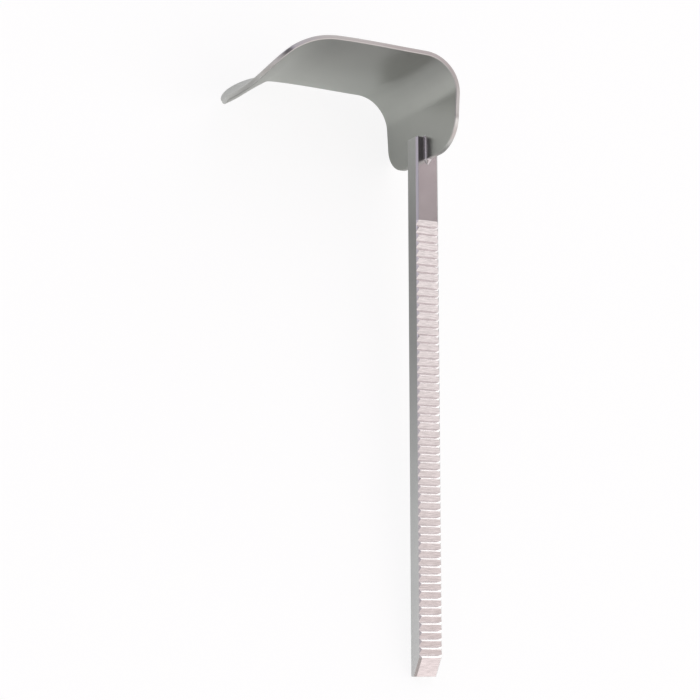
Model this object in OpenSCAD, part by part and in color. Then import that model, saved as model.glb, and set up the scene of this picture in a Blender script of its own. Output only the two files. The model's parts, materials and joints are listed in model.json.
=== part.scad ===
// Table-mounted retractor: a saddle blade pressed from sheet and brazed into the slit end of a
// toothed bar. Both are first built upright, with the bar along +Z, its teeth facing -Y and the
// blade reaching towards -X. The finished part is then laid down with the teeth up, as it would
// come to rest. Its origin is on the table, at the middle of the space that it covers.

/* [Toothed bar] */
// Width of the bar, across its teeth
bar_w = 8; // [6:0.5:12]
// Depth of the bar, from the toothed face to the back
bar_d = 6.5; // [5.5:0.5:10]
// Chamfer along the four long edges
bar_chamfer = 0.65; // [0.3:0.05:1]
// Plain length above the teeth, up to the blade end
plain_len = 27.4; // [20:0.2:50]
// Plain length below the teeth, down to the butt
butt_len = 5.8; // [4:0.2:10]
// Depth that the front of the butt is cut away
butt_cut = 3.6; // [1:0.2:4]
// Chamfer at the back of the butt
heel_chamfer = 0.9; // [0.3:0.1:1.5]

/* [Teeth] */
// Distance from one tooth to the next
tooth_pitch = 2.5; // [2:0.1:4]
// Number of teeth
tooth_count = 55; // [20:1:70]
// Depth of the teeth
tooth_depth = 0.75; // [0.4:0.05:1.2]
// Length of the short flank of a tooth, which faces the blade
tooth_flank = 0.9; // [0.3:0.1:1.4]

/* [Blade] */
// Thickness of the sheet
sheet_t = 1.5; // [1:0.1:2]
// Width of the blade
blade_w = 47.5; // [30:0.5:60]
// Height of the flange, from its lower edge to the bend
flange_len = 16.4; // [14:0.2:30]
// Amount that each side of the flange draws in towards its lower edge
flange_taper = 1.9; // [0:0.1:3]
// Rounding of the flange's lower corners, across the width
corner_w = 12; // [6:0.5:14]
// Rounding of the flange's lower corners, along the height
corner_h = 10; // [5:0.5:12]
// Inside radius of the bend between flange and blade
bend_r = 10; // [5:0.5:16]
// Angle of the bend between flange and blade
bend_angle = 94; // [85:1:110]
// Straight length between the bend and the fold of the lip
reach_len = 30.2; // [20:0.2:60]
// Inside radius of the fold of the lip
fold_r = 27; // [12:1:40]
// Angle of the fold of the lip
fold_angle = 28; // [10:1:45]
// Length of the lip beyond its fold, up to where its tip flares back
lip_len = 11; // [6:0.5:25]
// Angle that the lip curls on before its tip
lip_curl = 4.5; // [1:0.5:20]
// Length of the tip that flares back
flare_len = 5.5; // [3:0.5:12]
// Angle that the tip flares back
flare_angle = 19; // [1:1:40]
// Length of the tapered end of the tongue
tongue_len = 16.4; // [10:0.2:20]
// How pointed the tongue is: 0.5 is an ellipse, 1 a parabola
tongue_point = 0.85; // [0.5:0.05:1]
// Depth of the hollow across the lip, at its fold
fold_hollow = 3.6; // [0:0.1:6]
// Depth of the hollow across the lip, for its full width, at the tip
tip_hollow = 2.8; // [0:0.1:6]
// Rounding of the sheet's edges
sheet_edge = 0.3; // [0.1:0.05:0.4]

/* [Brazed joint] */
// Depth of the slit in the bar
slit_depth = 7.5; // [5:0.5:12]
// Gap between the sheet and each wall of the slit, filled by braze
braze_gap = 0.1; // [0.05:0.05:0.2]
// Size of the fillet that the braze draws along the slit
braze_leg = 0.7; // [0.4:0.1:1]
// Length of the drop of braze under the flange's edge
braze_drop = 1.6; // [1:0.2:3]

/* [Smoothness] */
// Largest distance between two rows of the blade's surface
row_step = 1.4; // [0.8:0.1:3]
// Number of steps across the blade's width
cross_steps = 22; // [10:2:30]

/* [Hidden] */
steel = [0.60, 0.60, 0.58];
bright_steel = [0.70, 0.67, 0.67];
braze_metal = [0.78, 0.74, 0.68];

teeth_top = butt_len + tooth_count * tooth_pitch;
bar_len = teeth_top + plain_len;
front = -bar_d / 2;
back = bar_d / 2;
slit_floor = bar_len - slit_depth;
flange_edge = slit_floor + braze_gap;
cut_margin = 1;

// The sheet's centre line in the XZ plane is a chain of [length, angle turned] stretches
function arc_length(inner_r, angle) = (inner_r + sheet_t / 2) * angle * PI / 180;
stretches = [
    [flange_len, 0],
    [arc_length(bend_r, bend_angle), bend_angle],
    [reach_len, 0],
    [arc_length(fold_r, fold_angle), fold_angle],
    [lip_len, lip_curl],
    [flare_len, -flare_angle],
];
function tangent(a) = [-sin(a), 0, cos(a)];
function outward(a) = [cos(a), 0, sin(a)];
function run(stretch, a, s) =
    stretch[1] == 0
    ? s * tangent(a)
    : (outward(a + stretch[1] * s / stretch[0]) - outward(a)) * stretch[0] * 180 / (PI * stretch[1]);

// Place and heading of the centre line at the distance s from the flange's lower edge
function centre_line(s, i = 0, start = [0, 0, flange_edge], a = 0) =
    i == len(stretches) - 1 || s <= stretches[i][0]
    ? [start + run(stretches[i], a, s), a + stretches[i][1] * s / stretches[i][0]]
    : centre_line(s - stretches[i][0], i + 1,
                  start + run(stretches[i], a, stretches[i][0]), a + stretches[i][1]);

bend_start = stretches[0][0];
bend_middle = bend_start + stretches[1][0] / 2;
fold_start = bend_start + stretches[1][0] + stretches[2][0];
fold_middle = fold_start + stretches[3][0] / 2;
sheet_len = fold_start + stretches[3][0] + lip_len + flare_len;
tongue_start = sheet_len - tongue_len;

// The hollow starts in the bend and is full at the fold of the lip
function ease(u) = u * u * (3 - 2 * u);
function clamp01(u) = min(1, max(0, u));
function hollow(s) =
    fold_hollow * ease(clamp01((s - bend_start) / (fold_middle - bend_start)))
    + (tip_hollow - fold_hollow) * clamp01((s - fold_middle) / (sheet_len - fold_middle));

// Half the width that the sheet would have without its round corners and tongue
function straight_half(s) =
    blade_w / 2 - flange_taper * ease(clamp01(1 - s / bend_middle));

// A row is [distance along the sheet, half width, share of the outline's normal along the sheet]
corner_steps = 8;
tongue_steps = 20;
tip_angle = 84;
corner_rows = [for (i = [0:corner_steps - 1])
    let (a = 90 * i / corner_steps)
    [corner_h * (1 - cos(a)), straight_half(corner_h) - corner_w * (1 - sin(a)), -cos(a)]];
middle_steps = ceil((tongue_start - corner_h) / row_step);
middle_rows = [for (i = [0:middle_steps - 1])
    let (s = corner_h + (tongue_start - corner_h) * i / middle_steps)
    [s, straight_half(s), 0]];
function tongue_lean(a) =
    let (along = blade_w * tongue_point * pow(cos(a), 2 * tongue_point - 1) * sin(a),
         sideways = tongue_len * cos(a))
    along / sqrt(along * along + sideways * sideways);
tongue_rows = [for (i = [0:tongue_steps])
    let (a = tip_angle * i / tongue_steps)
    [tongue_start + tongue_len * sin(a), blade_w / 2 * pow(cos(a), 2 * tongue_point), tongue_lean(a)]];
rows = concat(corner_rows, middle_rows, tongue_rows);

// Point of the sheet at the distance s along it, y across it and lift out of its middle surface
function sheet_point(s, y, lift) =
    let (at = centre_line(s),
         depth = hollow(s),
         slope = 2 * depth * y / pow(blade_w / 2, 2),
         up = outward(at[1]),
         flat = 1 / sqrt(1 + slope * slope))
    at[0] + up * (depth * pow(y / (blade_w / 2), 2) + lift * flat) + [0, y - lift * slope * flat, 0];

// One closed ring round the sheet: outer face, far edge, inner face and near edge
face_lift = sheet_t / 2;
edge_lift = sheet_t / 2 - sheet_edge;
function across(j) = 2 * j / cross_steps - 1;
function face_point(row, v, lift) =
    sheet_point(row[0] - sheet_edge * row[2],
                v * (row[1] - sheet_edge * sqrt(1 - row[2] * row[2])), lift);
function ring(row) = concat(
    [for (j = [0:cross_steps]) face_point(row, across(j), face_lift)],
    [sheet_point(row[0], row[1], edge_lift), sheet_point(row[0], row[1], -edge_lift)],
    [for (j = [cross_steps:-1:0]) face_point(row, across(j), -face_lift)],
    [sheet_point(row[0], -row[1], -edge_lift), sheet_point(row[0], -row[1], edge_lift)]);

// The flange's lower edge and the tip are closed by two more rows of points along each of them
function end_points(row, lift) =
    [for (j = [1:cross_steps - 1]) sheet_point(row[0], across(j) * row[1], lift)];
ring_size = 2 * cross_steps + 6;
last_ring = len(rows) - 1;
ring_points = [for (row = rows) each ring(row)];
blade_points = concat(ring_points,
    end_points(rows[0], edge_lift), end_points(rows[0], -edge_lift),
    end_points(rows[last_ring], edge_lift), end_points(rows[last_ring], -edge_lift));

function outer_at(r, j) = r * ring_size + j;
function inner_at(r, j) = r * ring_size + 2 * cross_steps + 3 - j;
function end_at(r, j, lower) =
    j == 0 ? r * ring_size + 2 * cross_steps + (lower ? 4 : 5)
    : j == cross_steps ? r * ring_size + cross_steps + (lower ? 2 : 1)
    : len(ring_points) + ((r == 0 ? 0 : 2) + (lower ? 1 : 0)) * (cross_steps - 1) + j - 1;
function strip(a, b, c, d, facing_up) = facing_up ? [a, b, c, d] : [d, c, b, a];
function cap_faces(r, facing_up) = [for (j = [0:cross_steps - 1]) each [
    strip(outer_at(r, j), outer_at(r, j + 1), end_at(r, j + 1, false), end_at(r, j, false), facing_up),
    strip(end_at(r, j, false), end_at(r, j + 1, false),
          end_at(r, j + 1, true), end_at(r, j, true), facing_up),
    strip(end_at(r, j, true), end_at(r, j + 1, true), inner_at(r, j + 1), inner_at(r, j), facing_up)]];
side_faces = [for (r = [0:last_ring - 1], k = [0:ring_size - 1])
    let (n = (k + 1) % ring_size)
    [(r + 1) * ring_size + k, (r + 1) * ring_size + n, r * ring_size + n, r * ring_size + k]];
blade_faces = concat(side_faces, cap_faces(0, true), cap_faces(last_ring, false));

// The part lies on the heel of the bar, the far corner of the flange and the far side of the tongue.
// The table is the plane y = heel + lean * dz + roll * dx, which no point of the blade passes
heel = [-bar_w / 2 + bar_chamfer, back, heel_chamfer];
flange_side = [for (p = blade_points) if (p.y > 0 && p.x > -bend_r) p - heel];
tongue_side = [for (p = blade_points) if (p.y > 0 && p.x < -bend_r - reach_len) p - heel];
function table_lean(roll) = max([for (p = flange_side) (p.y - roll * p.x) / p.z]);
function table_roll(lean) = min([for (p = tongue_side) (lean * p.z - p.y) / -p.x]);
function settle(roll, turns) = turns == 0 ? roll : settle(table_roll(table_lean(roll)), turns - 1);
roll_slope = settle(0, 8);
lean_slope = table_lean(roll_slope);
lean_angle = atan(lean_slope);
roll_angle = -atan(roll_slope * cos(lean_angle));

// Turns a point of the upright frame into the lying one
function lean_down(p) = [p.x,
    p.y * sin(lean_angle) + p.z * cos(lean_angle),
    -p.y * cos(lean_angle) + p.z * sin(lean_angle)];
function roll_over(p) = [p.x * cos(roll_angle) + p.z * sin(roll_angle),
    p.y,
    -p.x * sin(roll_angle) + p.z * cos(roll_angle)];
function laid(p) = roll_over(lean_down(p));
bar_corners = [for (side = [-1, 1])
    each [[side * (bar_w / 2 - bar_chamfer), front + butt_cut, 0],
          [side * bar_w / 2, front + butt_cut + bar_chamfer, 0],
          [side * bar_w / 2, back - heel_chamfer, 0],
          [side * bar_w / 2, front + bar_chamfer, bar_len],
          [side * (bar_w / 2 - bar_chamfer), front, bar_len],
          [side * (bar_w / 2 - bar_chamfer), back, heel_chamfer],
          [side * (bar_w / 2 - bar_chamfer), back, bar_len]]];
laid_points = [for (p = concat(blade_points, bar_corners)) laid(p)];
function lowest(i) = min([for (p = laid_points) p[i]]);
function highest(i) = max([for (p = laid_points) p[i]]);
footprint_middle = [(lowest(0) + highest(0)) / 2, (lowest(1) + highest(1)) / 2, lowest(2)];

module lay_down() {
    translate(-footprint_middle)
        rotate([0, roll_angle, 0])
            rotate([lean_angle - 90, 0, 0])
                children();
}

module blade() {
    color(steel)
        lay_down()
            polyhedron(points = blade_points, faces = blade_faces, convexity = 6);
}

// Side view of the bar, in Y and Z: butt, teeth, plain end and straight back
module bar_outline() {
    teeth = [for (i = [0:tooth_count - 1])
        let (crest = butt_len + i * tooth_pitch)
        each [[front, crest], [front + tooth_depth, crest + tooth_flank]]];
    polygon(concat(
        [[back - heel_chamfer, 0], [front + butt_cut, 0]],
        teeth,
        [[front, teeth_top], [front, bar_len], [back, bar_len], [back, heel_chamfer]]));
}

module bar_section() {
    w = bar_w / 2;
    c = bar_chamfer;
    polygon([[-w, front + c], [-w + c, front], [w - c, front], [w, front + c],
             [w, back - c], [w - c, back], [-w + c, back], [-w, back - c]]);
}

// Cuts the chamfer that follows the sloping front of the butt
module butt_edge_cut() {
    slope = atan(butt_cut / butt_len);
    half_len = 2 * norm([butt_cut, butt_len]);
    for (side = [-1, 1])
        translate([side * bar_w / 2, front, butt_len])
            rotate([slope, 0, 0])
                rotate([0, 0, 45])
                    cube([bar_chamfer * sqrt(2), bar_chamfer * sqrt(2), 2 * half_len], center = true);
}

module slit() {
    slit_w = sheet_t + 2 * braze_gap;
    translate([-slit_w / 2, front - cut_margin, slit_floor])
        cube([slit_w, bar_d + 2 * cut_margin, slit_depth + cut_margin]);
}

module ratchet_bar() {
    color(bright_steel)
        lay_down()
            difference() {
                intersection() {
                    translate([-bar_w / 2, 0, 0])
                        rotate([90, 0, 90])
                            linear_extrude(bar_w) bar_outline();
                    linear_extrude(bar_len) bar_section();
                }
                slit();
                intersection() {
                    butt_edge_cut();
                    translate([-bar_w, front - cut_margin, -cut_margin])
                        cube([2 * bar_w, bar_d, butt_len + cut_margin]);
                }
            }
}

// Concave fillet along +Z, in the corner between two faces that look along +X and +Y
module fillet_strip(run_len) {
    linear_extrude(run_len)
        difference() {
            square(braze_leg);
            translate([braze_leg, braze_leg]) circle(r = braze_leg, $fn = 24);
        }
}

module braze_film() {
    translate([-sheet_t / 2 - braze_gap, front, slit_floor])
        cube([sheet_t + 2 * braze_gap, bar_d, slit_depth]);
}

// Fillets up both faces of the bar, over its top, and a drop under the flange's edge
module braze_beads() {
    for (side = [0, 1], face = [0, 1])
        mirror([side, 0, 0]) mirror([0, face, 0]) {
            translate([sheet_t / 2, back, slit_floor])
                fillet_strip(slit_depth + braze_leg / 2);
            translate([sheet_t / 2, 0, bar_len])
                rotate([90, 0, 0]) mirror([0, 0, 1]) fillet_strip(back + braze_leg / 2);
        }
    for (face = [0, 1])
        mirror([0, face, 0])
            translate([0, back, flange_edge - braze_drop])
                cylinder(h = braze_drop, r1 = braze_leg / 3, r2 = braze_leg + sheet_t / 2, $fn = 32);
}

module braze() {
    color(braze_metal)
        lay_down()
            difference() {
                union() {
                    braze_film();
                    difference() {
                        braze_beads();
                        translate([-bar_w / 2, front, 0])
                            cube([bar_w, bar_d, bar_len]);
                    }
                }
                translate([-sheet_t / 2, -blade_w / 2, flange_edge])
                    cube([sheet_t, blade_w, flange_len]);
            }
}

blade();
ratchet_bar();
braze();
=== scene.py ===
"""Looks of a table-mounted surgical retractor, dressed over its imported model.

The part lies on its side with the teeth up. Every length is in metres.
"""

from __future__ import annotations

import json
import logging
import math

import bmesh
import bpy
from dataclasses import dataclass, field
from enum import Enum
from mathutils import Matrix, Vector


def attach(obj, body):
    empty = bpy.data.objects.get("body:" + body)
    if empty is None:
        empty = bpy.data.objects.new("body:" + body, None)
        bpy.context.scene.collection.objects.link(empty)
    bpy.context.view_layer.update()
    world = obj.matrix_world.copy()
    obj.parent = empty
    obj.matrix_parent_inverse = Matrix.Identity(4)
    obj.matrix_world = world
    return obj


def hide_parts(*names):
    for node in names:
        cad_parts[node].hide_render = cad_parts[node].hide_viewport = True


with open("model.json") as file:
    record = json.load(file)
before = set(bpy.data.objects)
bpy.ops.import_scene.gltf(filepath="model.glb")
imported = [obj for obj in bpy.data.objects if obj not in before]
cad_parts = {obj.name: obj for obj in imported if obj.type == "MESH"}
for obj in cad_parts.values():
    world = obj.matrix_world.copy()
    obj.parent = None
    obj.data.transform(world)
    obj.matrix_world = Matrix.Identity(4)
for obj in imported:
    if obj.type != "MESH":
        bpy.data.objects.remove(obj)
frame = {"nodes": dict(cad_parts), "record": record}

LOG = logging.getLogger("retractor")
MM = 0.001
BODY = "root"
WELD_REACH = 0.002 * MM
NOISE_LOW, NOISE_HIGH = 0.3, 0.7
MARK_SHARE = 0.35
Colour = tuple[float, float, float]


class Grain(Enum):
    """Way that the polishing marks run on the lying part, in degrees from the bar's length."""

    ALONG_BAR = 0.0
    SLANTED = 35.0
    ACROSS_BAR = 90.0

    @property
    def turn(self) -> float:
        """The same angle in radians."""
        return math.radians(self.value)


@dataclass(frozen=True)
class UprightFrame:
    """The frame in which the part was drawn, as it lies now.

    x runs across the bar, y from the teeth to the back, z along the bar to the blade.
    """

    origin: Vector
    across: Vector
    inward: Vector
    along: Vector

    @classmethod
    def from_mounts(cls, record: dict, bar_len: float) -> UprightFrame:
        """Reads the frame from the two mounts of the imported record.

        Args:
            record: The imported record.
            bar_len: Length of the toothed bar.

        Returns:
            The upright frame, with its origin at the butt.
        """
        mounts = {m["name"]: m for m in record["mounts"]}
        along = Vector(mounts["rack"]["axis"]).normalized()
        across = Vector(mounts["bar_side"]["axis"]).normalized()
        middle = Vector(mounts["rack"]["pos_m"])
        return cls(middle - along * (bar_len / 2), across, along.cross(across), along)

    def turn(self, way: Vector) -> Vector:
        """Returns how a direction of the upright frame lies."""
        return self.across * way.x + self.inward * way.y + self.along * way.z

    def place(self, point: Vector) -> Vector:
        """Returns where a point of the upright frame lies."""
        return self.origin + self.turn(point)


def ease(u: float) -> float:
    """Returns a smooth step from 0 to 1, held at its ends."""
    u = min(1.0, max(0.0, u))
    return u * u * (3 - 2 * u)


@dataclass(frozen=True)
class Stretch:
    """A stretch of the sheet's centre line: its length and the angle that it turns."""

    length: float
    turn: float = 0.0


@dataclass(frozen=True)
class OutlineRow:
    """A row across the sheet, and how far the outline's normal leans along the sheet."""

    along: float
    half_width: float
    lean: float


@dataclass
class ToothedBar:
    """Bar with the rack of teeth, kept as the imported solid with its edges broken."""

    plain_len: float = 27.4 * MM
    butt_len: float = 5.8 * MM
    tooth_pitch: float = 2.5 * MM
    tooth_count: int = 55
    edge_break: float = 0.07 * MM
    edge_steps: int = 2
    sharp_edge: float = math.radians(18)
    flat_limit: float = math.radians(0.5)

    @property
    def teeth_top(self) -> float:
        """Height of the last tooth above the butt."""
        return self.butt_len + self.tooth_count * self.tooth_pitch

    @property
    def length(self) -> float:
        """Length from the butt to the blade end."""
        return self.teeth_top + self.plain_len

    def dress(self, node: bpy.types.Object, steel: bpy.types.Material) -> bpy.types.Object:
        """Breaks the bar's edges and gives it its steel.

        Args:
            node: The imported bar.
            steel: Its finish.

        Returns:
            The same object.
        """
        paint(node, steel)
        break_edges(node, self.edge_break, self.edge_steps, self.sharp_edge, self.flat_limit)
        return node


@dataclass
class SaddleBlade:
    """Blade pressed from sheet: a flange, a bend, a flat reach and a hollow lip with a round tip."""

    sheet_t: float = 1.5 * MM
    width: float = 47.5 * MM
    flange_len: float = 16.4 * MM
    flange_taper: float = 1.9 * MM
    corner_w: float = 12 * MM
    corner_h: float = 10 * MM
    bend_r: float = 10 * MM
    bend_angle: float = math.radians(94)
    reach_len: float = 30.2 * MM
    fold_r: float = 27 * MM
    fold_angle: float = math.radians(28)
    lip_len: float = 11 * MM
    lip_curl: float = math.radians(4.5)
    flare_len: float = 5.5 * MM
    flare_angle: float = math.radians(19)
    tongue_len: float = 16.4 * MM
    tongue_point: float = 0.85
    fold_hollow: float = 3.6 * MM
    tip_hollow: float = 2.8 * MM
    edge_r: float = 0.3 * MM
    tip_angle: float = math.radians(84)
    row_step: float = 0.55 * MM
    cross_steps: int = 60
    corner_steps: int = 24
    tongue_steps: int = 60
    edge_steps: int = 5
    flange_edge: float = 163.3 * MM
    stretches: list[Stretch] = field(init=False)
    rows: list[OutlineRow] = field(init=False)

    def __post_init__(self) -> None:
        """Works out the centre line and the rows."""
        self.stretches = [
            Stretch(self.flange_len),
            Stretch((self.bend_r + self.sheet_t / 2) * self.bend_angle, self.bend_angle),
            Stretch(self.reach_len),
            Stretch((self.fold_r + self.sheet_t / 2) * self.fold_angle, self.fold_angle),
            Stretch(self.lip_len, self.lip_curl),
            Stretch(self.flare_len, -self.flare_angle),
        ]
        self.rows = self.outline_rows()

    @property
    def sheet_len(self) -> float:
        """Length of the sheet along its middle."""
        return sum(s.length for s in self.stretches)

    @property
    def bend_middle(self) -> float:
        """Distance of the bend's middle along the sheet."""
        return self.flange_len + self.stretches[1].length / 2

    @property
    def fold_middle(self) -> float:
        """Distance of the fold's middle along the sheet."""
        return sum(s.length for s in self.stretches[:3]) + self.stretches[3].length / 2

    def centre_line(self, s: float) -> tuple[Vector, float]:
        """Returns the place and the heading of the centre line at the distance s."""
        at, heading = Vector((0, 0, self.flange_edge)), 0.0
        for i, stretch in enumerate(self.stretches):
            last = i == len(self.stretches) - 1
            part = s if last else min(s, stretch.length)
            if stretch.turn:
                radius = stretch.length / stretch.turn
                end = heading + part / radius
                at += Vector((math.cos(end) - math.cos(heading), 0,
                              math.sin(end) - math.sin(heading))) * radius
                heading = end
            else:
                at += Vector((-math.sin(heading), 0, math.cos(heading))) * part
            s -= part
            if s <= 0 and not last:
                break
        return at, heading

    def hollow(self, s: float) -> float:
        """Returns the depth of the hollow across the full width, at the distance s."""
        bend_start = self.flange_len
        rise = ease((s - bend_start) / (self.fold_middle - bend_start))
        rest = (s - self.fold_middle) / (self.sheet_len - self.fold_middle)
        return self.fold_hollow * rise + (self.tip_hollow - self.fold_hollow) * min(1.0, max(0.0, rest))

    def straight_half(self, s: float) -> float:
        """Returns half the width at the distance s, without round corners and tongue."""
        return self.width / 2 - self.flange_taper * ease(1 - s / self.bend_middle)

    def outline_rows(self) -> list[OutlineRow]:
        """Returns the rows from the flange's lower edge to the tip."""
        rows = []
        for i in range(self.corner_steps):
            a = math.pi / 2 * i / self.corner_steps
            half = self.straight_half(self.corner_h) - self.corner_w * (1 - math.sin(a))
            rows.append(OutlineRow(self.corner_h * (1 - math.cos(a)), half, -math.cos(a)))
        tongue_start = self.sheet_len - self.tongue_len
        steps = math.ceil((tongue_start - self.corner_h) / self.row_step)
        for i in range(steps):
            s = self.corner_h + (tongue_start - self.corner_h) * i / steps
            rows.append(OutlineRow(s, self.straight_half(s), 0.0))
        for i in range(self.tongue_steps + 1):
            a = self.tip_angle * i / self.tongue_steps
            half = self.width / 2 * math.cos(a) ** (2 * self.tongue_point)
            rows.append(OutlineRow(tongue_start + self.tongue_len * math.sin(a), half, self.tongue_lean(a)))
        return rows

    def tongue_lean(self, a: float) -> float:
        """Returns how far the tongue's outline leans along the sheet, at the angle a of its round."""
        along = self.width * self.tongue_point * math.cos(a) ** (2 * self.tongue_point - 1) * math.sin(a)
        sideways = self.tongue_len * math.cos(a)
        return along / math.hypot(along, sideways)

    def sheet_point(self, s: float, y: float, lift: float) -> Vector:
        """Returns a point of the sheet in the upright frame.

        Args:
            s: Distance along the sheet.
            y: Distance across it.
            lift: Distance out of its middle surface.
        """
        at, heading = self.centre_line(s)
        up = Vector((math.cos(heading), 0, math.sin(heading)))
        depth = self.hollow(s)
        slope = 2 * depth * y / (self.width / 2) ** 2
        flat = 1 / math.sqrt(1 + slope * slope)
        rise = depth * (y / (self.width / 2)) ** 2 + lift * flat
        return at + up * rise + Vector((0, y - lift * slope * flat, 0))

    def rim_point(self, i: int, j: int, inset: float, lift: float) -> Vector:
        """Returns the point of row i and column j, drawn in from the outline by inset."""
        row = self.rows[i]
        sideways = math.sqrt(1 - row.lean * row.lean)
        v = 2 * j / self.cross_steps - 1
        return self.sheet_point(row.along - inset * row.lean, v * (row.half_width - inset * sideways), lift)

    def rim_profile(self) -> list[tuple[float, float]]:
        """Returns inset and lift of the points round the sheet's edge, from the outer to the inner face."""
        top = self.sheet_t / 2 - self.edge_r
        angles = [math.pi / 2 * k / self.edge_steps for k in range(self.edge_steps + 1)]
        outer = [(self.edge_r * (1 - math.sin(a)), top + self.edge_r * math.cos(a)) for a in angles]
        return outer + [(inset, -lift) for inset, lift in reversed(outer)]

    def perimeter(self) -> list[tuple[int, int]]:
        """Returns row and column of the outline's points, once round the sheet."""
        last, n = len(self.rows) - 1, self.cross_steps
        return ([(0, j) for j in range(n)] + [(i, n) for i in range(last)]
                + [(last, j) for j in range(n, 0, -1)] + [(i, 0) for i in range(last, 0, -1)])

    def build(self, upright: UprightFrame, steel: bpy.types.Material) -> bpy.types.Object:
        """Makes the blade with smooth faces and a rounded edge.

        Args:
            upright: The frame that it is drawn in.
            steel: Its finish.

        Returns:
            The blade.
        """
        mesh = bmesh.new()
        profile = self.rim_profile()
        columns = range(self.cross_steps + 1)

        def add(i: int, j: int, inset: float, lift: float) -> bmesh.types.BMVert:
            """Adds one vertex of the sheet."""
            return mesh.verts.new(upright.place(self.rim_point(i, j, inset, lift)))

        faces = [[[add(i, j, *edge) for j in columns] for i in range(len(self.rows))]
                 for edge in (profile[0], profile[-1])]
        for side, grid in enumerate(faces):
            for low, high in zip(grid, grid[1:]):
                for j in range(self.cross_steps):
                    ring = [low[j], low[j + 1], high[j + 1], high[j]]
                    mesh.faces.new(ring if side == 0 else ring[::-1])
        loops = [[faces[0][i][j] for i, j in self.perimeter()]]
        loops += [[add(i, j, *edge) for i, j in self.perimeter()] for edge in profile[1:-1]]
        loops.append([faces[1][i][j] for i, j in self.perimeter()])
        for upper, lower in zip(loops, loops[1:]):
            for k in range(len(upper)):
                m = (k + 1) % len(upper)
                mesh.faces.new([upper[m], upper[k], lower[k], lower[m]])
        bmesh.ops.recalc_face_normals(mesh, faces=mesh.faces)
        return finish_mesh("saddle_blade", mesh, steel)


@dataclass
class BrazeBead:
    """Braze that holds the blade in the bar's slit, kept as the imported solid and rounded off."""

    edge_break: float = 0.05 * MM
    edge_steps: int = 2
    sharp_edge: float = math.radians(30)
    flat_limit: float = math.radians(0.5)

    def dress(self, node: bpy.types.Object, metal: bpy.types.Material) -> bpy.types.Object:
        """Rounds the bead and gives it its metal.

        Args:
            node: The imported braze.
            metal: Its finish.

        Returns:
            The same object.
        """
        paint(node, metal)
        break_edges(node, self.edge_break, self.edge_steps, self.sharp_edge, self.flat_limit)
        return node


def finish_mesh(name: str, mesh: bmesh.types.BMesh, material: bpy.types.Material) -> bpy.types.Object:
    """Turns a bmesh into a smooth object of the scene.

    Args:
        name: Name of the piece.
        mesh: Its mesh, which is freed.
        material: Its finish.

    Returns:
        The new object.
    """
    data = bpy.data.meshes.new(name)
    mesh.to_mesh(data)
    mesh.free()
    data.shade_smooth()
    data.materials.append(material)
    piece = bpy.data.objects.new(name, data)
    bpy.context.scene.collection.objects.link(piece)
    weighted = piece.modifiers.new("even_normals", "WEIGHTED_NORMAL")
    weighted.keep_sharp = True
    return piece


def paint(node: bpy.types.Object, material: bpy.types.Material) -> None:
    """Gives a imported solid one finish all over."""
    node.data.materials.clear()
    node.data.materials.append(material)


def break_edges(node: bpy.types.Object, width: float, steps: int, sharp: float, flat: float) -> None:
    """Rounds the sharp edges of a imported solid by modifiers.

    Args:
        node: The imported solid.
        width: Width of the rounding.
        steps: Number of its steps.
        sharp: Angle above which an edge is rounded.
        flat: Angle below which facets are joined first.
    """
    weld = node.modifiers.new("weld", "WELD")
    weld.merge_threshold = WELD_REACH
    dissolve = node.modifiers.new("flat_faces", "DECIMATE")
    dissolve.decimate_type = "DISSOLVE"
    dissolve.angle_limit = flat
    bevel = node.modifiers.new("broken_edges", "BEVEL")
    bevel.limit_method = "ANGLE"
    bevel.angle_limit = sharp
    bevel.width = width
    bevel.segments = steps
    bevel.miter_outer = "MITER_ARC"
    weighted = node.modifiers.new("even_normals", "WEIGHTED_NORMAL")
    weighted.keep_sharp = True


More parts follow.
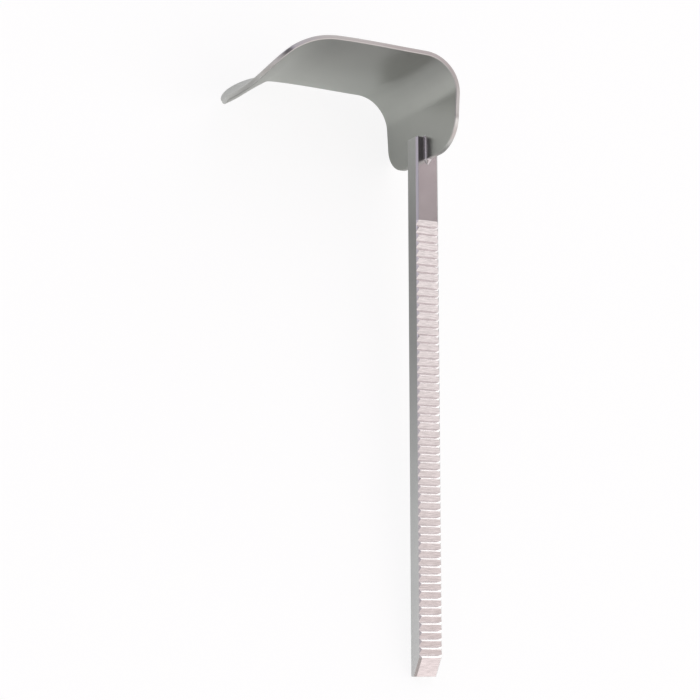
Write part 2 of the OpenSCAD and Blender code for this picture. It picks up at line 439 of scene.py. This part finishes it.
class NodeKit:
    """Small helper that lays out and links the nodes of one tree."""

    def __init__(self, tree: bpy.types.NodeTree) -> None:
        """Keeps the tree and clears it."""
        self.tree = tree
        tree.nodes.clear()

    def add(self, kind: str, **settings: object) -> bpy.types.Node:
        """Adds a node.

        Args:
            kind: Its type.
            **settings: Properties to set on it.

        Returns:
            The node.
        """
        node = self.tree.nodes.new(kind)
        for key, value in settings.items():
            setattr(node, key, value)
        return node

    def link(self, out: bpy.types.NodeSocket, into: bpy.types.NodeSocket) -> None:
        """Joins an output to an input."""
        self.tree.links.new(out, into)

    def math(self, operation: str, *values: object) -> bpy.types.NodeSocket:
        """Adds a Math node.

        Args:
            operation: Its operation.
            *values: Numbers or sockets for its inputs.

        Returns:
            Its output.
        """
        node = self.add("ShaderNodeMath", operation=operation)
        for socket, value in zip(node.inputs, values):
            if isinstance(value, bpy.types.NodeSocket):
                self.link(value, socket)
            else:
                socket.default_value = value
        return node.outputs[0]

    def surface(self, shader: bpy.types.Node, kind: str = "ShaderNodeOutputMaterial") -> None:
        """Gives the tree its output and joins a shader to it.

        Args:
            shader: The node whose first output is shown.
            kind: Type of the output node.
        """
        self.link(shader.outputs[0], self.add(kind).inputs["Surface"])

    def spread(self, value: bpy.types.NodeSocket, low: float, high: float, to_low: float = 0.0,
               to_high: float = 1.0, smooth: bool = False) -> bpy.types.NodeSocket:
        """Adds a Map Range node.

        Args:
            value: Output that drives it.
            low: Value that gives to_low.
            high: Value that gives to_high.
            to_low: Result at low.
            to_high: Result at high.
            smooth: Whether it eases in and out.

        Returns:
            Its output.
        """
        node = self.add("ShaderNodeMapRange", interpolation_type="SMOOTHSTEP" if smooth else "LINEAR")
        for key, number in (("From Min", low), ("From Max", high), ("To Min", to_low), ("To Max", to_high)):
            node.inputs[key].default_value = number
        self.link(value, node.inputs["Value"])
        return node.outputs["Result"]

    def mix(self, share: object, first: object, second: object, blend: str = "MIX") -> bpy.types.NodeSocket:
        """Adds a node that mixes two colours.

        Args:
            share: Share of the second one, a number or a socket.
            first: A colour or a socket.
            second: A colour or a socket.
            blend: How they are mixed.

        Returns:
            Its output.
        """
        node = self.add("ShaderNodeMix", data_type="RGBA", blend_type=blend)
        for key, value in (("Factor", share), ("A", first), ("B", second)):
            if isinstance(value, bpy.types.NodeSocket):
                self.link(value, node.inputs[key])
            else:
                node.inputs[key].default_value = value if key == "Factor" else (*value, 1)
        return node.outputs["Result"]

    def dot(self, value: bpy.types.NodeSocket, way: Vector) -> bpy.types.NodeSocket:
        """Adds the dot product of a vector with a fixed direction.

        Args:
            value: The vector's output.
            way: The direction.

        Returns:
            Its output.
        """
        node = self.add("ShaderNodeVectorMath", operation="DOT_PRODUCT")
        self.link(value, node.inputs[0])
        node.inputs[1].default_value = way
        return node.outputs["Value"]

    def group(self, tree: bpy.types.ShaderNodeTree, **numbers: float) -> bpy.types.Node:
        """Adds a group with its number inputs set.

        Args:
            tree: The group.
            **numbers: Values by input name.

        Returns:
            The group node.
        """
        node = self.add("ShaderNodeGroup", node_tree=tree)
        for key, number in numbers.items():
            node.inputs[key].default_value = number
        return node

    def ramp(self, value: bpy.types.NodeSocket, reach: float, steps: list[tuple]) -> bpy.types.NodeSocket:
        """Adds a colour ramp over a value.

        Args:
            value: Output that drives it.
            reach: The ramp runs from minus this value to plus this value.
            steps: Value and colour of each step, in order.

        Returns:
            Its colour output.
        """
        node = self.add("ShaderNodeValToRGB")
        elements = node.color_ramp.elements
        elements.remove(elements[-1])
        for i, (at, colour) in enumerate(steps):
            place = (at + reach) / (2 * reach)
            element = elements[0] if i == 0 else elements.new(place)
            element.position = place
            element.color = (*colour, 1)
        self.link(self.spread(value, -reach, reach), node.inputs["Fac"])
        return node.outputs["Color"]


def new_material(name: str) -> tuple[bpy.types.Material, NodeKit]:
    material = bpy.data.materials.new(name)
    material.use_nodes = True
    return material, NodeKit(material.node_tree)


def new_noise(kit: NodeKit, place: bpy.types.NodeSocket, detail: float, rough: float) -> bpy.types.Node:
    """Adds a solid noise texture.

    Args:
        place: Where it is read.
        detail: Number of its octaves.
        rough: Strength of the finer ones.

    Returns:
        The noise node.
    """
    noise = kit.add("ShaderNodeTexNoise", noise_dimensions="3D")
    noise.inputs["Scale"].default_value = 1.0
    noise.inputs["Detail"].default_value = detail
    noise.inputs["Roughness"].default_value = rough
    kit.link(place, noise.inputs["Vector"])
    return noise


def new_group(name: str, inputs: dict[str, float], outputs: dict[str, str]) -> tuple[NodeKit, dict, dict]:
    """Makes an empty shader node group.

    Args:
        name: Name of the group.
        inputs: Names and first values of its number inputs.
        outputs: Names and socket types of its outputs.
    """
    tree = bpy.data.node_groups.new(name, "ShaderNodeTree")
    for key, value in inputs.items():
        socket = tree.interface.new_socket(key, in_out="INPUT", socket_type="NodeSocketFloat")
        socket.default_value = value
    for key, kind in outputs.items():
        tree.interface.new_socket(key, in_out="OUTPUT", socket_type=kind)
    kit = NodeKit(tree)
    group_in = kit.add("NodeGroupInput")
    group_out = kit.add("NodeGroupOutput")
    return kit, {k: group_in.outputs[k] for k in inputs}, {k: group_out.inputs[k] for k in outputs}


def polishing_marks() -> bpy.types.ShaderNodeTree:
    """Makes the group for fine marks that run along one way.

    Returns:
        The group. Across and Along are the marks' sizes in metres, Turn tips them from Y to X.
    """
    kit, given, made = new_group(
        "polishing_marks",
        {"Across": 0.1 * MM, "Along": 6 * MM, "Turn": 0.0},
        {"Marks": "NodeSocketFloat"},
    )
    place = kit.add("ShaderNodeTexCoord").outputs["Object"]
    turned = kit.add("ShaderNodeVectorRotate", rotation_type="Z_AXIS")
    kit.link(place, turned.inputs["Vector"])
    kit.link(given["Turn"], turned.inputs["Angle"])
    scale = kit.add("ShaderNodeCombineXYZ")
    fine = kit.math("DIVIDE", 1.0, given["Across"])
    kit.link(fine, scale.inputs["X"])
    kit.link(kit.math("DIVIDE", 1.0, given["Along"]), scale.inputs["Y"])
    kit.link(fine, scale.inputs["Z"])
    stretched = kit.add("ShaderNodeVectorMath", operation="MULTIPLY")
    kit.link(turned.outputs[0], stretched.inputs[0])
    kit.link(scale.outputs[0], stretched.inputs[1])
    noise = new_noise(kit, stretched.outputs[0], detail=3.0, rough=0.6)
    kit.link(noise.outputs["Fac"], made["Marks"])
    return kit.tree


def soft_clouding() -> bpy.types.ShaderNodeTree:
    """Makes the group for the slow clouding of hand-finished steel.

    Returns:
        The group. Size is the cloud's size in metres, Contrast how strong it is.
    """
    kit, given, made = new_group(
        "soft_clouding",
        {"Size": 12 * MM, "Contrast": 1.0},
        {"Cloud": "NodeSocketFloat"},
    )
    noise = new_noise(kit, kit.add("ShaderNodeTexCoord").outputs["Object"], detail=4.0, rough=0.55)
    kit.link(kit.math("DIVIDE", 1.0, given["Size"]), noise.inputs["Scale"])
    centred = kit.math("SUBTRACT", noise.outputs["Fac"], 0.5)
    kit.link(kit.math("ADD", kit.math("MULTIPLY", centred, given["Contrast"]), 0.5), made["Cloud"])
    return kit.tree


@dataclass(frozen=True)
class PaintedToothHighlight:
    """Painted highlight: a lighter colour on the front-turned faces of the teeth and the butt."""

    facing: Vector
    along: Vector
    top: Vector
    # painted highlight: the two tones of the lightened faces, far lighter than the bar's satin
    dark: Colour = (0.655, 0.64, 0.635)
    light: Colour = (0.95, 0.935, 0.93)
    marks_across: float = 0.22 * MM
    marks_along: float = 2.6 * MM
    turned_from: float = 0.45
    turned_to: float = 0.60
    fade: float = 0.1 * MM

    def mask(self, kit: NodeKit) -> bpy.types.NodeSocket:
        """Returns 1 on the faces that get the painted highlight and 0 elsewhere.
        """
        turned = kit.dot(kit.add("ShaderNodeNewGeometry").outputs["True Normal"], self.facing)
        front = kit.spread(turned, self.turned_from, self.turned_to, smooth=True)
        height = kit.dot(kit.add("ShaderNodeTexCoord").outputs["Object"], self.along)
        limit = self.top.dot(self.along)
        return kit.math("MULTIPLY", front, kit.spread(height, limit, limit - self.fade))

    def tone(self, kit: NodeKit, marks: bpy.types.ShaderNodeTree) -> bpy.types.NodeSocket:
        """Returns the painted highlight's colour, streaked across the bar by polishing marks.

        Args:
            marks: The group of polishing marks.
        """
        fine = kit.group(marks, Across=self.marks_across, Along=self.marks_along,
                         Turn=Grain.ACROSS_BAR.turn)
        return kit.mix(kit.spread(fine.outputs["Marks"], NOISE_LOW, NOISE_HIGH), self.dark, self.light)


@dataclass(frozen=True)
class BendPaintedSheen:
    """Painted sheen: a lighter band along the inside of the blade's bend, by how far the face turns to the
    butt.
    """

    down: Vector
    steps: tuple[tuple[float, float], ...] = ((-1.0, 1.0), (0.0, 1.0), (0.2, 1.16), (0.45, 1.18),
                                              (0.85, 1.10), (0.96, 1.0))

    def gain(self, kit: NodeKit) -> bpy.types.NodeSocket:
        """Returns what the colour is multiplied by.
        """
        turned = kit.dot(kit.add("ShaderNodeNewGeometry").outputs["Normal"], self.down)
        return kit.ramp(turned, 1.0, [(at, [level] * 3) for at, level in self.steps])


@dataclass(frozen=True)
class SteelFinish:
    """A satin finish on stainless steel."""

    name: str
    dark: Colour
    light: Colour
    rough_low: float
    rough_high: float
    marks_across: float
    marks_along: float
    grain: Grain
    mark_depth: float
    cloud_size: float

    def material(self, marks: bpy.types.ShaderNodeTree, clouds: bpy.types.ShaderNodeTree,
                 highlight: PaintedToothHighlight | None = None, painted_sheen: BendPaintedSheen | None = None) -> bpy.types.Material:
        """Makes the material.

        Args:
            marks: The group of polishing marks.
            clouds: The group of soft clouding.
            highlight: Painted highlight on the front-turned faces of its teeth and butt, if it has any.
            painted_sheen: Painted sheen, lighter along the inside of its bend, if it has one.

        Returns:
            The material.
        """
        material, kit = new_material(self.name)
        shader = kit.add("ShaderNodeBsdfPrincipled")
        kit.surface(shader)
        shader.inputs["Metallic"].default_value = 1.0
        fine = kit.group(marks, Across=self.marks_across, Along=self.marks_along, Turn=self.grain.turn)
        cloud = kit.group(clouds, Size=self.cloud_size)
        mixed = kit.math("MULTIPLY_ADD", fine.outputs["Marks"], MARK_SHARE,
                         kit.math("MULTIPLY", cloud.outputs["Cloud"], 1 - MARK_SHARE))
        colour = kit.mix(mixed, self.dark, self.light)
        # painted highlight: a lighter colour on the front-turned faces of the teeth and the butt
        if highlight:
            colour = kit.mix(highlight.mask(kit), colour, highlight.tone(kit, marks))
        # painted sheen: the colour is lighter along the inside of the bend
        if painted_sheen:
            colour = kit.mix(1.0, colour, painted_sheen.gain(kit), "MULTIPLY")
        kit.link(colour, shader.inputs["Base Color"])
        rough = kit.spread(mixed, NOISE_LOW, NOISE_HIGH, self.rough_low, self.rough_high)
        kit.link(rough, shader.inputs["Roughness"])
        bump = kit.add("ShaderNodeBump")
        bump.inputs["Strength"].default_value = 1.0
        bump.inputs["Distance"].default_value = self.mark_depth
        kit.link(fine.outputs["Marks"], bump.inputs["Height"])
        kit.link(bump.outputs["Normal"], shader.inputs["Normal"])
        return material


@dataclass(frozen=True)
class Finishes:
    """The finishes of the part."""

    blade: SteelFinish = SteelFinish(
        name="blade_satin_steel", dark=(0.50, 0.50, 0.485), light=(0.62, 0.62, 0.60),
        rough_low=0.28, rough_high=0.36, marks_across=0.12 * MM, marks_along=3 * MM,
        grain=Grain.SLANTED, mark_depth=0.0003 * MM, cloud_size=14 * MM)
    bar: SteelFinish = SteelFinish(
        name="bar_satin_steel", dark=(0.54, 0.535, 0.53), light=(0.66, 0.655, 0.65),
        rough_low=0.14, rough_high=0.24, marks_across=0.10 * MM, marks_along=8 * MM,
        grain=Grain.ALONG_BAR, mark_depth=0.0008 * MM, cloud_size=10 * MM)
    braze: SteelFinish = SteelFinish(
        name="braze_metal", dark=(0.60, 0.59, 0.61), light=(0.86, 0.85, 0.85),
        rough_low=0.10, rough_high=0.22, marks_across=0.4 * MM, marks_along=0.6 * MM,
        grain=Grain.ALONG_BAR, mark_depth=0.006 * MM, cloud_size=1.5 * MM)


@dataclass(frozen=True)
class SkyStep:
    """Colour of the sky at an angle from straight up, positive towards the blade."""

    angle: float
    red: float
    green: float
    blue: float


@dataclass
class Studio:
    """White floor, soft light and the camera at the photograph's angle.

    The arc of soft boxes and a card on the floor are what the steel mirrors. The card is painted
    shade that only reflections show: its steps are its tones by distance along the bar, darkest
    between 10 and 50 mm, and it glows a little and thins out (cover) towards the butt.
    """

    floor_size: float = 6.0
    floor_white: Colour = (1.0, 1.0, 1.0)
    shadow_share: float = 0.2
    floor_glow: float = 1.07
    card_size: float = 0.9
    card_lift: float = 0.2 * MM
    card_reach: float = 100 * MM
    card_tint: Colour = (0.93, 0.985, 0.95)
    card_painted_glow: float = 0.24
    # painted shade: the card's tones by distance along the bar
    card_shade_steps: tuple[tuple[float, float], ...] = (
        (-90 * MM, 1.0), (-44 * MM, 0.92), (-22 * MM, 0.73), (10 * MM, 0.53), (50 * MM, 0.47),
        (60 * MM, 0.57), (64 * MM, 0.63), (72 * MM, 0.72), (80 * MM, 0.80), (88 * MM, 0.88),
        (94 * MM, 0.92))
    cover_from: float = -95 * MM
    cover_to: float = -40 * MM
    cover_least: float = 0.4
    camera_aim: Vector = field(default_factory=lambda: Vector((-22.19, 8.14, 101.61)) * MM)
    camera_far: float = 0.6
    camera_azimuth: float = math.radians(26.76)
    camera_elevation: float = math.radians(9.3)
    camera_roll: float = math.radians(-0.09)
    lens: float = 97.85
    sensor: float = 36.0
    clip_near: float = 0.01
    clip_far: float = 20.0
    sky: tuple[SkyStep, ...] = (
        SkyStep(-90, 0.70, 0.66, 0.66), SkyStep(-80, 1.04, 0.92, 0.92), SkyStep(-66, 1.04, 0.92, 0.92),
        SkyStep(-57, 0.72, 0.61, 0.60), SkyStep(-49, 0.92, 0.84, 0.84), SkyStep(-38, 1.00, 0.92, 0.92),
        SkyStep(-20, 1.30, 1.24, 1.24), SkyStep(-8, 1.30, 1.24, 1.24), SkyStep(-1, 1.25, 1.20, 1.19),
        SkyStep(3, 0.45, 0.39, 0.39), SkyStep(6, 0.20, 0.17, 0.17), SkyStep(8.5, 0.28, 0.24, 0.24),
        SkyStep(10.5, 0.80, 0.67, 0.71), SkyStep(13, 0.90, 0.77, 0.80), SkyStep(30, 0.84, 0.72, 0.74),
        SkyStep(45, 0.84, 0.76, 0.77), SkyStep(60, 1.10, 1.06, 1.06), SkyStep(71, 1.60, 1.58, 1.58),
        SkyStep(86, 1.60, 1.58, 1.58), SkyStep(88.5, 0.40, 0.36, 0.35))
    side_sky: tuple[SkyStep, ...] = (
        SkyStep(-90, 0.45, 0.40, 0.39), SkyStep(-66, 0.42, 0.38, 0.37), SkyStep(-45, 1.05, 1.00, 1.04),
        SkyStep(-32, 0.60, 0.56, 0.58), SkyStep(-10, 0.50, 0.46, 0.48), SkyStep(14, 0.56, 0.51, 0.56),
        SkyStep(22, 0.72, 0.68, 0.80), SkyStep(60, 0.70, 0.66, 0.76), SkyStep(90, 0.80, 0.78, 0.78))
    side_from: float = 0.30
    side_to: float = 0.12
    dark_way: Vector = field(default_factory=lambda: Vector((-0.47, 0.175, 0.865)))
    dark_near: float = 15.0
    dark_far: float = 26.0
    dark_share: float = 0.92
    dark_tone: Colour = (0.0, 0.0, 0.0)
    backdrop_white: Colour = (1.0, 1.0, 1.0)

    def build_floor(self) -> bpy.types.Object:
        """Returns the floor, white behind the part and shaded by it."""
        material, kit = new_material("floor_white")
        paper = kit.add("ShaderNodeBsdfDiffuse")
        paper.inputs["Color"].default_value = (*self.floor_white, 1)
        white = kit.add("ShaderNodeEmission")
        white.inputs["Strength"].default_value = self.floor_glow
        path = kit.add("ShaderNodeLightPath")
        mirrored = kit.math("MAXIMUM", path.outputs["Is Glossy Ray"], path.outputs["Is Transmission Ray"])
        seen = kit.math("MAXIMUM", path.outputs["Is Camera Ray"], mirrored)
        mix = kit.add("ShaderNodeMixShader")
        kit.link(kit.math("MULTIPLY", seen, 1 - self.shadow_share), mix.inputs["Fac"])
        kit.link(paper.outputs[0], mix.inputs[1])
        kit.link(white.outputs[0], mix.inputs[2])
        kit.surface(mix)
        return stage_sheet("floor", self.floor_size, material)

    def build_shade_card(self) -> bpy.types.Object:
        """Returns the card of painted floor shade, which only the metal's reflections show."""
        material, kit = new_material("card_painted_shade")
        place = kit.add("ShaderNodeSeparateXYZ")
        kit.link(kit.add("ShaderNodeTexCoord").outputs["Object"], place.inputs[0])
        # painted shade of the floor, by distance along the bar, seen only in reflections
        painted_shade = kit.ramp(place.outputs["Y"], self.card_reach,
                        [(y, [level * tint for tint in self.card_tint]) for y, level in self.card_shade_steps])
        paper = kit.add("ShaderNodeBsdfDiffuse")
        kit.link(painted_shade, paper.inputs["Color"])
        # painted light: the card also glows a little
        glow = kit.add("ShaderNodeEmission")
        glow.inputs["Strength"].default_value = self.card_painted_glow
        kit.link(painted_shade, glow.inputs["Color"])
        both = kit.add("ShaderNodeAddShader")
        kit.link(paper.outputs[0], both.inputs[0])
        kit.link(glow.outputs[0], both.inputs[1])
        cover = kit.spread(place.outputs["Y"], self.cover_from, self.cover_to, to_low=self.cover_least)
        mix = kit.add("ShaderNodeMixShader")
        kit.link(cover, mix.inputs["Fac"])
        kit.link(kit.add("ShaderNodeBsdfTransparent").outputs[0], mix.inputs[1])
        kit.link(both.outputs[0], mix.inputs[2])
        kit.surface(mix)
        card = stage_sheet("reflected_shade_card", self.card_size, material)
        card.location.z = self.card_lift
        card.visible_camera = False
        card.visible_diffuse = False
        card.visible_transmission = False
        card.visible_shadow = False
        return card

    def build_world(self) -> bpy.types.World:
        """Returns the world: soft boxes in an arc over the bar, and a dark space beside them."""
        world = bpy.data.worlds.new("studio")
        bpy.context.scene.world = world
        world.use_nodes = True
        kit = NodeKit(world.node_tree)
        way = kit.add("ShaderNodeTexCoord").outputs["Generated"]
        parts = kit.add("ShaderNodeSeparateXYZ")
        kit.link(way, parts.inputs[0])
        angle = kit.math("ARCTAN2", parts.outputs["Y"], parts.outputs["Z"])
        boxes, side = (
            kit.ramp(angle, math.pi / 2,
                     [(math.radians(step.angle), (step.red, step.green, step.blue)) for step in steps])
            for steps in (self.sky, self.side_sky))
        aside = kit.spread(parts.outputs["X"], self.side_from, self.side_to, smooth=True)
        arc = kit.mix(aside, boxes, side)
        beside = kit.dot(way, self.dark_way.normalized())
        far, near = (math.cos(math.radians(angle)) for angle in (self.dark_far, self.dark_near))
        dark = kit.spread(beside, far, near, to_high=self.dark_share, smooth=True)
        sky = kit.mix(dark, arc, self.dark_tone)
        seen = kit.add("ShaderNodeLightPath").outputs["Is Camera Ray"]
        light = kit.add("ShaderNodeBackground")
        kit.link(kit.mix(seen, sky, self.backdrop_white), light.inputs["Color"])
        kit.surface(light, "ShaderNodeOutputWorld")
        return world

    def build_camera(self, upright: UprightFrame) -> bpy.types.Object:
        """Returns the camera, which looks down on the lying part.

        Args:
            upright: The frame in which its angles are given.
        """
        data = bpy.data.cameras.new("camera")
        data.lens = self.lens
        data.sensor_width = self.sensor
        data.clip_start, data.clip_end = self.clip_near, self.clip_far
        camera = bpy.data.objects.new("camera", data)
        bpy.context.scene.collection.objects.link(camera)
        flat = math.cos(self.camera_elevation)
        look = Vector((math.sin(self.camera_azimuth) * flat, math.cos(self.camera_azimuth) * flat,
                       math.sin(self.camera_elevation)))
        level = Vector((math.cos(self.camera_azimuth), -math.sin(self.camera_azimuth), 0))
        right = Matrix.Rotation(-self.camera_roll, 3, look) @ level
        up = right.cross(look)
        turn = Matrix([upright.turn(v) for v in (right, up, -look)]).transposed()
        place = upright.place(self.camera_aim - look * self.camera_far)
        camera.matrix_world = Matrix.Translation(place) @ turn.to_4x4()
        bpy.context.scene.camera = camera
        return camera

    def build(self, upright: UprightFrame) -> None:
        """Builds the whole studio.

        Args:
            upright: The frame in which the part was drawn.
        """
        self.build_camera(upright)
        self.build_floor()
        self.build_shade_card()
        self.build_world()
        bpy.context.scene.view_settings.view_transform = "Standard"


def stage_sheet(name: str, size: float, material: bpy.types.Material) -> bpy.types.Object:
    """Makes a flat square of the studio, which isn't part of the retractor.

    Args:
        name: Its name.
        size: Length of its side.
        material: Its finish.

    Returns:
        The new object.
    """
    mesh = bmesh.new()
    bmesh.ops.create_grid(mesh, x_segments=1, y_segments=1, size=size / 2)
    data = bpy.data.meshes.new(name)
    mesh.to_mesh(data)
    mesh.free()
    data.materials.append(material)
    piece = bpy.data.objects.new(name, data)
    bpy.context.scene.collection.objects.link(piece)
    return piece


def main() -> None:
    """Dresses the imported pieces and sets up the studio."""
    logging.basicConfig(level=logging.INFO, format="%(name)s: %(message)s")
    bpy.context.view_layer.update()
    nodes = frame["nodes"]
    marks, clouds = polishing_marks(), soft_clouding()
    finishes = Finishes()

    toothed_bar = ToothedBar()
    upright = UprightFrame.from_mounts(frame["record"], toothed_bar.length)
    teeth_top = upright.place(Vector((0, 0, toothed_bar.teeth_top)))
    # painted highlight on the front-turned faces of the teeth and the butt
    tooth_highlight = PaintedToothHighlight(-upright.inward, upright.along, teeth_top)
    bar = toothed_bar.dress(nodes["ratchet_bar"], finishes.bar.material(marks, clouds, tooth_highlight))
    LOG.info("%s: %d teeth", bar.name, toothed_bar.tooth_count)

    saddle = SaddleBlade()
    # the blade gets a painted sheen along the inside of its bend
    blade = saddle.build(upright, finishes.blade.material(marks, clouds, painted_sheen=BendPaintedSheen(-upright.along)))
    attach(blade, BODY)
    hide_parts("blade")
    LOG.info("%s: %d rows", blade.name, len(saddle.rows))

    bead = BrazeBead().dress(nodes["braze"], finishes.braze.material(marks, clouds))
    LOG.info("%s dressed", bead.name)

    Studio().build(upright)


if __name__ == "__main__":
    main()
